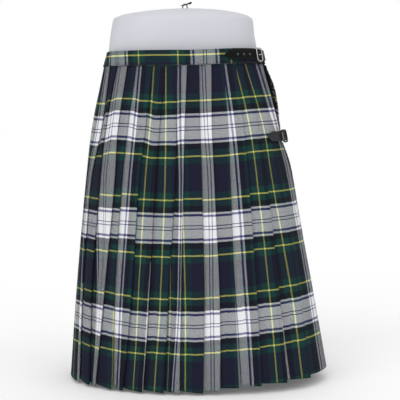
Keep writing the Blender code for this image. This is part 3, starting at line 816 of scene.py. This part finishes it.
def punch(piece, spec):
    """Cuts the strap's round holes through it."""
    cutters = bmesh.new()
    for matrix in hole_axes(spec):
        bmesh.ops.create_cone(cutters, cap_ends=True, segments=HOLE_SIDES, radius1=HOLE_RADIUS,
                              radius2=HOLE_RADIUS, depth=3 * LEATHER, matrix=matrix)
    cutter = add_object("cutter", free_mesh("cutter", cutters))
    cut = piece.modifiers.new("holes", "BOOLEAN")
    cut.operation = "DIFFERENCE"
    cut.solver = "EXACT"
    cut.object = cutter
    bpy.context.view_layer.update()
    evaluated = piece.evaluated_get(bpy.context.evaluated_depsgraph_get())
    done = bpy.data.meshes.new_from_object(evaluated)
    piece.modifiers.clear()
    piece.data = done
    bpy.data.objects.remove(cutter)


def stitch(made, down, along, out, size, fineness):
    """One short rounded stitch, lying along the ring."""
    length, radius = size
    matrix = surface_axes(down, along, out) @ Matrix.Diagonal((length / 2, radius, radius, 1.0))
    bmesh.ops.create_uvsphere(made, u_segments=fineness[0], v_segments=fineness[1], radius=1.0,
                              matrix=matrix)


def make_strap(spec, leather, thread):
    tip, buckle, anchor = strap_places(spec)

    def out_at(along):
        return strap_out(spec, along)

    def half_width_at(along):
        return strap_half_width(spec, along)

    piece = leather_sheet(spec.name + "_belt", spec, tip, anchor, out_at, half_width_at,
                          STRAP_COLUMNS, leather, spec.name + "_strap", (LEATHER, STRAP_EDGE))
    punch(piece, spec)
    made = bmesh.new()
    for side in (-1.0, 1.0):
        for i in range(int((anchor - tip) / STITCH_PITCH) - 2):
            along = tip + STITCH_START + i * STITCH_PITCH
            if abs(along - buckle) > STITCH_BREAK:
                stitch(made, spec.down + side * (half_width_at(along) - STITCH_INSET), along,
                       out_at(along) + LEATHER / 2 + STITCH_SIZE[1] * 0.35, STITCH_SIZE, (8, 6))
    mesh_piece(spec.name + "_stitches", made, thread, "strap")


def make_tab(spec, material):
    buckle = strap_places(spec)[1]
    out = strap_base_out(spec)[0] + SEAM_GAP + TAB_LEATHER / 2
    half_width = spec.width / 2 - TAB_INSET
    leather_sheet(spec.name + "_keeper", spec, buckle - TAB_REACH, buckle + TAB_PAST,
                  lambda along: out, lambda along: half_width, TAB_COLUMNS, material,
                  spec.name + "_tab", (TAB_LEATHER, TAB_EDGE))


def wire(name, points, radius, matrix, material, slot, node=None, cyclic=False, radii=None):
    """A wire through points: a smooth curve with a round section."""
    curve = bpy.data.curves.new(name, "CURVE")
    curve.dimensions = "3D"
    curve.bevel_depth = radius
    curve.bevel_resolution = 4
    curve.use_fill_caps = not cyclic
    spline = curve.splines.new("POLY")
    spline.points.add(len(points) - 1)
    for target, point, thick in zip(spline.points, points, radii or [1.0] * len(points)):
        target.co = (*point, 1.0)
        target.radius = thick
    spline.use_cyclic_u = cyclic
    spline.use_smooth = True
    curve.materials.append(material)
    piece = new_object(name, curve, slot, *([node] if node else []))
    piece.matrix_world = matrix


BUCKLE_LENGTH = 0.017
BUCKLE_CORNER = 0.0035
BUCKLE_CLEAR = 0.00072
CORNER_STEPS = 8
PRONG_STEPS = 14
PRONG_RADIUS = 0.00095
PRONG_LOW, PRONG_HIGH = -0.0016, 0.00186  # its height at its root and over the far bar
PRONG_PAST = 0.0012  # how far it lies past that bar
PRONG_DIP = 0.0006  # and how far its tip bends down
ROLLER_RADIUS = 0.00155  # the lower buckle's near bar has a pale roller
ROLLER_SHARE = 0.42  # half its length, as a share of the strap's width


def rounded_rectangle(width, height, radius):
    points = []
    for corner in range(4):
        cx = (width / 2 - radius) * (1 if corner in (0, 3) else -1)
        cy = (height / 2 - radius) * (1 if corner in (0, 1) else -1)
        for angle in (pi / 2 * (corner + s) for s in shares(CORNER_STEPS)):
            points.append((cx + radius * cos(angle), cy + radius * sin(angle), 0.0))
    return points


def buckle_axes(spec):
    out = strap_crest(spec) + LEATHER / 2 + BUCKLE_CLEAR + spec.wire
    return surface_axes(spec.down, strap_places(spec)[1], out)


def make_buckle(spec, metal, slot):
    """The frame, and the prong that comes up through the strap and lies over its far bar."""
    frame_points = rounded_rectangle(BUCKLE_LENGTH, spec.width + 2 * spec.margin, BUCKLE_CORNER)
    wire(spec.name + "_frame", frame_points, spec.wire, buckle_axes(spec), metal, slot,
         spec.name + "_buckle", cyclic=True)
    reach, points, radii = BUCKLE_LENGTH / 2, [], []
    for s in shares(PRONG_STEPS):
        height = mix(PRONG_LOW, PRONG_HIGH, ease(s * 1.35)) - PRONG_DIP * ease(s * 4.0 - 3.0)
        points.append((mix(-reach * 0.1, reach + PRONG_PAST, s), 0.0, height))
        radii.append(mix(1.0, 0.62, s * s))
    wire(spec.name + "_prong", points, PRONG_RADIUS, buckle_axes(spec), metal, slot, radii=radii)


def make_roller(spec, metal, slot):
    """The bright sleeve on the frame's near bar, where the strap comes through."""
    half, x = spec.width * ROLLER_SHARE, -BUCKLE_LENGTH / 2
    points = [(x, mix(-half, half, s), 0.0) for s in shares(PRONG_STEPS)]
    wire(spec.name + "_roller", points, ROLLER_RADIUS, buckle_axes(spec), metal, slot)


def make_eyelets(spec, metal, slot):
    """A thin rim of metal round each of the strap's holes."""
    radius = HOLE_RADIUS + EYELET_WIRE * 0.6
    turns = [2 * pi * i / HOLE_SIDES for i in range(HOLE_SIDES)]
    rim = [(radius * cos(a), radius * sin(a), 0.0) for a in turns]
    for number, matrix in enumerate(hole_axes(spec, LEATHER / 2)):
        wire(f"{spec.name}_eyelet_{number}", rim, EYELET_WIRE, matrix, metal, slot, cyclic=True)


# ======== the form and its clamp (mm)
FormRing = namedtuple("FormRing", "height centre half_width half_depth")
FORM_RINGS = [
    FormRing(0, -4, 128, 90), FormRing(60, -6, 134, 94),
    FormRing(180, -13, 147, 102), FormRing(300, -20, 156, 108),
    FormRing(400, -24, 155, 106), FormRing(480, -27.5, 146, 97),
    FormRing(545, -30, 136, 87), FormRing(597, -29.8, 132.7, 83),
    FormRing(622, -30.5, 129, 81), FormRing(645, -29.5, 126, 79),
]
FORM_ROUND = 2.35
FORM_COLUMNS = 128
FORM_ROWS = 90
DOME_ROWS = 22
# the domed top: its share of the last ring, how far above it and how far to the right
DomeRing = namedtuple("DomeRing", "share rise shift")
DOME = [DomeRing(1, 0, 0), DomeRing(0.985, 4, 0), DomeRing(0.945, 7.5, 1),
        DomeRing(0.86, 11.5, 3), DomeRing(0.7, 15.5, 6), DomeRing(0.48, 19.5, 9),
        DomeRing(0.24, 22, 11), DomeRing(0.06, 22.6, 12)]


def form_section(made, half_width, half_depth, centre, height):
    power, verts = 2.0 / FORM_ROUND, []
    for i in range(FORM_COLUMNS):
        turn = 2 * pi * (i + 0.5) / FORM_COLUMNS
        verts.append(made.verts.new(Vector((
            centre + half_width * signed_power(cos(turn), power),
            half_depth * signed_power(sin(turn), power), height)) * MM))
    return verts


def make_form(material):
    made = bmesh.new()
    heights, top = column(FORM_RINGS, "height", 1.0), FORM_RINGS[-1]
    sections = []
    for height in (mix(heights[0], heights[-1], s) for s in shares(FORM_ROWS)):
        sizes = [smooth(heights, column(FORM_RINGS, key, 1.0), height)
                 for key in ("half_width", "half_depth", "centre")]
        sections.append(form_section(made, *sizes, height))
    numbers = list(range(len(DOME)))
    for s in shares(DOME_ROWS)[1:]:
        share, rise, shift = (smooth(numbers, column(DOME, key, 1.0), numbers[-1] * s)
                              for key in DomeRing._fields)
        sections.append(form_section(made, top.half_width * share, top.half_depth * share,
                                     top.centre + shift, top.height + rise))
    tube(made, sections)
    bmesh.ops.recalc_face_normals(made, faces=made.faces)
    return mesh_piece("form", made, material, "form", "hip_form", sharp=60.0)


CLAMP_ACROSS = -0.025
CLAMP_FOOT = (FORM_RINGS[-1].height + DOME[-2].rise) * MM + 2 * SEAM_GAP
CLAMP_WIRE = 0.0012
LOOP_LEFT, LOOP_RIGHT, LOOP_HEIGHT = -0.0052, 0.003, 0.0082
LOOP_STEPS = 28
LOOP_ROUND = (0.6, 0.7)  # how square the loop is across and up, 1 being round
LEVER_WIRE = 0.001
LEVER_FORWARD = -0.0026
# the lever's places across and up (mm) and how thick it is there, against its wire
LEVER = [(-9, 5.6, 0.5), (-6, 5.4, 0.8), (-3, 5.8, 0.9), (0.5, 7.4, 1), (4, 8.6, 1.25),
         (6.5, 9.3, 1.8), (8.5, 10, 2), (10.2, 10.7, 1.7), (11.4, 11.2, 0.8)]


def make_clamp(bright, dark):
    """A bent wire loop that stands on the dome, and the lever with a thick oval end across it."""
    points = []
    for turn in (pi * (1.0 - s) for s in shares(LOOP_STEPS)):
        across = mix(LOOP_LEFT, LOOP_RIGHT, 0.5 + 0.5 * signed_power(cos(turn), LOOP_ROUND[0]))
        points.append((across, 0.0, LOOP_HEIGHT * signed_power(sin(turn), LOOP_ROUND[1])))
    matrix = Matrix.Translation((CLAMP_ACROSS, 0.0, CLAMP_FOOT))
    wire("loop_wire", points, CLAMP_WIRE, matrix, bright, "buckle", "clamp_loop")
    points = [(across * MM, LEVER_FORWARD, up * MM) for across, up, _ in LEVER]
    wire("lever", points, LEVER_WIRE, matrix, dark, "dark_buckle", "clamp_lever",
         radii=[thick for _, _, thick in LEVER])


# ======== the waistband's seam
SEAM_DOWN = -0.0016  # just over the band's lower edge
SEAM_PITCH = 0.0026
SEAM_CLEAR = 0.004
SEAM_STITCH = (0.0016, 0.00022)  # a stitch's length and radius


def make_band_seam(material):
    made = bmesh.new()
    start, end = from_left(LEFT_SEAM, SEAM_DOWN), apron_end(SEAM_DOWN)
    edge = apron_edge(SEAM_DOWN)
    for i in range(int((end - start) / SEAM_PITCH)):
        along = start + SEAM_CLEAR + i * SEAM_PITCH
        if along <= end - SEAM_CLEAR and abs(along - edge) >= SEAM_CLEAR:
            out_at = apron_band_out if along > edge else back_band_out
            stitch(made, SEAM_DOWN, along, out_at(along, SEAM_DOWN) + BAND_CLOTH / 2, SEAM_STITCH,
                   (6, 4))
    mesh_piece("band_seam", made, material, "band")


# ======== materials
class Shade:
    """A Principled material, with short ways to add nodes to it."""

    def __init__(self, name, roughness, **settings):
        self.material = bpy.data.materials.new(name)
        self.material.use_nodes = True
        self.tree = self.material.node_tree
        self.shader = self.tree.nodes["Principled BSDF"]
        for key, value in dict(Roughness=roughness, **settings).items():
            self.put(self.shader, key.replace("_", " "), value)

    def put(self, node, key, value):
        """Sets a node's input to a value, or links a socket to it."""
        if isinstance(value, bpy.types.NodeSocket):
            self.tree.links.new(value, node.inputs[key])
        else:
            node.inputs[key].default_value = value

    def node(self, kind, inputs, **settings):
        node = self.tree.nodes.new("ShaderNode" + kind)
        for key, value in settings.items():
            setattr(node, key, value)
        for key, value in inputs.items():
            self.put(node, key, value)
        return node

    def math(self, operation, *values):
        return self.node("Math", dict(enumerate(values)), operation=operation).outputs[0]

    def times(self, a, b):
        return self.math("MULTIPLY", a, b)

    def plus(self, a, b):
        return self.math("ADD", a, b)

    def blend(self, factor, a, b, way="MIX"):
        inputs = {0: factor, 6: a, 7: b}
        return self.node("Mix", inputs, data_type="RGBA", blend_type=way).outputs[2]

    def noise(self, scale, detail=2.0, roughness=0.5):
        inputs = {"Scale": scale, "Detail": detail, "Roughness": roughness, "Vector": self.place()}
        return self.node("TexNoise", inputs).outputs["Fac"]

    def place(self):
        """Places on the piece itself, in metres."""
        return self.node("TexCoord", {}).outputs["Object"]

    def split(self, vector):
        return self.node("SeparateXYZ", {0: vector}).outputs

    def cloth_map(self):
        """The two measures of the cloth's own map, in metres."""
        return self.split(self.node("UVMap", {}, uv_map=MAP).outputs[0])[:2]

    def finish(self, colour, height=None, distance=0.0, strength=0.0):
        """Gives the material its colour and any relief."""
        self.put(self.shader, "Base Color", colour)
        if height is not None:
            inputs = {"Strength": strength, "Distance": distance, "Height": height}
            self.put(self.shader, "Normal", self.node("Bump", inputs).outputs[0])
        return self.material


def sett_colour(shade, measure, half):
    """The yarn's colour at a place across the sett, which runs out and back again."""
    share = shade.math("DIVIDE", shade.math("PINGPONG", measure, half), half)
    ramp = shade.node("ValToRGB", {0: share})
    ramp.color_ramp.interpolation = "CONSTANT"
    elements = ramp.color_ramp.elements
    while len(elements) < len(SETT):
        elements.new(1.0)
    start = 0.0
    for element, stripe in zip(elements, SETT):
        element.position = start
        element.color = (*YARNS[stripe.yarn], 1.0)
        start = stripe.end / SETT[-1].end
    return ramp.outputs[0]


TWILL = 0.0016  # the repeat of the twill's diagonal, four threads
THREAD = TWILL / 4
WEFT_SHARE = 0.616  # how much of the face shows cross threads
GAP_SHARE = 0.375  # how much the darker yarn shows between the threads, where it is also a painted shade


def tartan(name):
    """Wool twill: warp and weft take the sett's colours and take turns on top, two by two."""
    shade = Shade(name, 0.9, Sheen_Weight=0.02, Sheen_Roughness=0.45, Specular_IOR_Level=0.06)
    u, v = shade.cloth_map()
    waver = shade.times(shade.math("SUBTRACT", shade.noise(55.0, 1.0), 0.5), 0.0009)
    warp = sett_colour(shade, shade.plus(u, waver), WARP_HALF)
    weft = sett_colour(shade, shade.plus(v, waver), HALF_SETT)
    diagonal = shade.math("FRACT", shade.math("DIVIDE", shade.plus(u, v), TWILL))
    on_top = shade.math("LESS_THAN", diagonal, WEFT_SHARE)
    # between the threads the darker yarn shows: partly the yarn beneath, partly painted shade in
    # the gaps
    gap_yarn_and_shade = shade.blend(1.0, warp, weft, "DARKEN")
    woven = shade.blend(GAP_SHARE, shade.blend(on_top, warp, weft), gap_yarn_and_shade)

    ridge_u, ridge_v = (
        shade.math("ABSOLUTE", shade.math("SINE", shade.times(
            shade.math("DIVIDE", measure, THREAD), pi))) for measure in (u, v))
    ridge = shade.plus(shade.times(ridge_u, on_top),
                       shade.times(ridge_v, shade.math("SUBTRACT", 1.0, on_top)))
    fuzz = shade.noise(1500.0, 2.0, 0.7)
    # the grey that the woven colour is multiplied by: fuzz and a slow noise vary its tone at
    # random, and the thread ridge darkens each thread towards its edges, a painted shade on the
    # round threads
    tone_and_thread_shade = shade.plus(shade.times(fuzz, 0.2), shade.times(shade.noise(14.0, 3.0), 0.14))
    tone_and_thread_shade = shade.plus(tone_and_thread_shade, shade.plus(shade.times(ridge, 0.14), 0.74))
    thread_shade_grey = shade.node("CombineColor", dict.fromkeys(range(3), tone_and_thread_shade)).outputs[0]
    height = shade.plus(ridge, shade.times(fuzz, 0.8))
    return shade.finish(shade.blend(1.0, woven, thread_shade_grey, "MULTIPLY"), height, 0.00008, 0.3)


def loose_yarn(name):
    """The fringe: cross threads let loose, each in its stripe's colour."""
    shade = Shade(name, 0.95, Sheen_Weight=0.12, Sheen_Roughness=0.5, Specular_IOR_Level=0.2)
    colour = sett_colour(shade, shade.cloth_map()[1], HALF_SETT)
    fuzz = shade.noise(1300.0, 2.0, 0.7)
    colour = shade.blend(shade.times(fuzz, 0.45), colour, (0.01, 0.01, 0.015, 1.0))
    return shade.finish(colour, fuzz, 0.0002, 0.6)


LEATHER_TINT = (1.0, 1.02, 1.12)
# the plain black that the painted light on a strap fades to, and the run of that fade
PLAIN_BLACK_LEATHER = (0.003, 0.0031, 0.0036, 1.0)
PAINTED_LIGHT_FADE = 0.002


def leather(name, dark, pale, gloss, painted_light_to=None):
    """Smooth black leather: fine grain, faint creases and patches rubbed a little paler.

    A strap's leather may be given paler levels, painted light on it, which end at a place towards
    the wearer's right and fade to plain black past it.
    """
    shade = Shade(name, 0.4, Specular_IOR_Level=gloss, Coat_Weight=0.04, Coat_Roughness=0.3)
    inputs = {"Scale": 1500.0, "Vector": shade.place()}
    cells = shade.node("TexVoronoi", inputs, feature="DISTANCE_TO_EDGE").outputs["Distance"]
    grain = shade.math("MINIMUM", shade.times(cells, 6.0), 1.0)
    colour = shade.blend(shade.noise(45.0), *((*(level * part for part in LEATHER_TINT), 1.0)
                                              for level in (dark, pale)))
    # painted light: past the given place the paler leather fades to plain black
    if painted_light_to:
        past = shade.math("SUBTRACT", shade.split(shade.place())[0], painted_light_to)
        past = shade.math("MAXIMUM", shade.math("DIVIDE", past, PAINTED_LIGHT_FADE), 0.0)
        colour = shade.blend(shade.math("MINIMUM", past, 1.0), colour, PLAIN_BLACK_LEATHER)
    creases = shade.times(shade.noise(160.0, 4.0, 0.6), 1.6)
    return shade.finish(colour, shade.plus(grain, creases), 0.00012, 0.5)


def metal(name, colour, roughness):
    """Plated wire with fine scratches and a little tarnish."""
    shade = Shade(name, roughness, Metallic=1.0)
    dull = (*(value * 0.62 for value in colour), 1.0)
    tarnish = shade.blend(shade.times(shade.noise(240.0, 3.0), 0.55), (*colour, 1.0), dull)
    return shade.finish(tarnish, shade.noise(1600.0), 0.00004, 0.35)


def form_plastic(name):
    """Pale grey moulded plastic with a soft gloss and the faint ripple of a blown shell."""
    shade = Shade(name, 0.36, Specular_IOR_Level=0.3, Subsurface_Weight=0.08, Subsurface_Scale=0.01)
    cloud = shade.blend(shade.noise(7.0, 3.0), (0.56, 0.567, 0.612, 1), (0.595, 0.602, 0.645, 1))
    ripple = shade.plus(shade.noise(18.0), shade.times(shade.noise(420.0), 0.05))
    return shade.finish(cloud, ripple, 0.0011, 0.3)


def sewing_thread(name, colour, roughness):
    shade = Shade(name, roughness, Sheen_Weight=0.1)
    pale = (*(value * 1.8 for value in colour), 1.0)
    return shade.finish(shade.blend(shade.noise(1200.0), (*colour, 1.0), pale))


# ======== the room
FLOOR_REACH = 60.0
WHITE = (1.0, 1.0, 1.0, 1.0)


def make_floor():
    made = bmesh.new()
    bmesh.ops.create_grid(made, x_segments=1, y_segments=1, size=FLOOR_REACH)
    floor = add_object("floor", free_mesh("floor", made))
    shade = Shade("floor_paint", 0.7, Specular_IOR_Level=0.1, Emission_Color=WHITE,
                  Emission_Strength=0.08)
    floor.data.materials.append(shade.finish((0.95, 0.95, 0.95, 1.0)))


Lamp = namedtuple("Lamp", "name azimuth height spread power")
LAMPS = [  # azimuth to the camera's right, height above level and spread in degrees
    Lamp("key", -28, 32, 55, 1.15), Lamp("fill", 52, 22, 70, 0.6),
    Lamp("top", 0, 88, 80, 0.5), Lamp("back", 165, 40, 70, 0.3),
]
ROOM_LIGHT = 0.5


def make_lights():
    for lamp in LAMPS:
        data = bpy.data.lights.new(lamp.name, "SUN")
        data.angle = radians(lamp.spread)
        data.energy = lamp.power
        azimuth, height = radians(lamp.azimuth), radians(lamp.height)
        level = cos(height)
        source = Vector((sin(azimuth) * level, -cos(azimuth) * level, sin(height)))
        piece = add_object(lamp.name, data)
        piece.rotation_euler = (-source).to_track_quat("-Z", "Y").to_euler()
        piece.location = source * 4.0


def make_backdrop():
    """A room that lights the kilt softly, and that the camera sees as white paper."""
    world = bpy.data.worlds.new("studio")
    bpy.context.scene.world = world
    world.use_nodes = True
    tree = world.node_tree
    room, paper = tree.nodes["Background"], tree.nodes.new("ShaderNodeBackground")
    room.inputs["Strength"].default_value = ROOM_LIGHT
    for light in (room, paper):
        light.inputs["Color"].default_value = WHITE
    both = tree.nodes.new("ShaderNodeMixShader")
    seen = tree.nodes.new("ShaderNodeLightPath").outputs["Is Camera Ray"]
    for number, socket in enumerate((seen, room.outputs[0], paper.outputs[0])):
        tree.links.new(socket, both.inputs[number])
    tree.links.new(both.outputs[0], tree.nodes["World Output"].inputs["Surface"])


CAMERA_PLACE = (0.001, -2.154, 0.485)
CAMERA_PITCH = 4.3  # degrees below level
FOCAL_PIXELS = 1187.2  # focal length in pixels of a frame 400 wide
FRAME_PIXELS = 400
SENSOR = 36.0


def make_camera():
    data = bpy.data.cameras.new("camera")
    data.sensor_width = SENSOR
    data.lens = SENSOR * FOCAL_PIXELS / FRAME_PIXELS
    camera = add_object("camera", data)
    camera.location = CAMERA_PLACE
    camera.rotation_euler = (radians(90.0 - CAMERA_PITCH), 0.0, 0.0)
    bpy.context.scene.camera = camera


# ======== the whole
# the cut of the cloth that shows: its widest, its length, its flat area (m2), and how it is held
Cut = namedtuple("Cut", "width length area held")


def main():
    make_camera()
    make_lights()
    make_backdrop()
    make_floor()
    bpy.context.scene.view_settings.view_transform = "Standard"

    wool, band_wool = tartan("tartan_wool"), tartan("band_wool")
    black_leather = leather("black_leather", 0.0015, 0.0035, 0.08)
    # the lower strap: a paler, glossier copy of the black leather, painted light, up to 0.1412 m
    # across
    painted_light_leather = leather("painted_light_leather", 0.013, 0.021, 0.24, painted_light_to=0.1412)
    black_thread = sewing_thread("black_thread", (0.012, 0.012, 0.013), 0.6)
    green_thread = sewing_thread("green_thread", (0.012, 0.03, 0.028), 0.8)
    silver = metal("silver_metal", (0.5, 0.5, 0.51), 0.24)
    steel = metal("steel", (0.2, 0.2, 0.21), 0.3)
    gunmetal = metal("dark_metal", (0.055, 0.055, 0.06), 0.34)
    black_metal = metal("black_metal", (0.014, 0.014, 0.016), 0.42)

    pleats = make_pleated_back(wool)
    over, under = make_aprons(wool)
    back, front = make_bands(band_wool)
    fringe = make_fringe(loose_yarn("fringe_yarn"))
    make_band_seam(green_thread)
    make_strap(UPPER, black_leather, black_thread)
    make_tab(UPPER, black_leather)
    make_buckle(UPPER, silver, "buckle")
    make_eyelets(UPPER, steel, "buckle")
    make_strap(LOWER, painted_light_leather, black_thread)
    make_tab(LOWER, black_leather)
    make_buckle(LOWER, black_metal, "dark_buckle")
    make_roller(LOWER, steel, "buckle")
    form = make_form(form_plastic("form_plastic"))
    make_clamp(steel, gunmetal)


main()
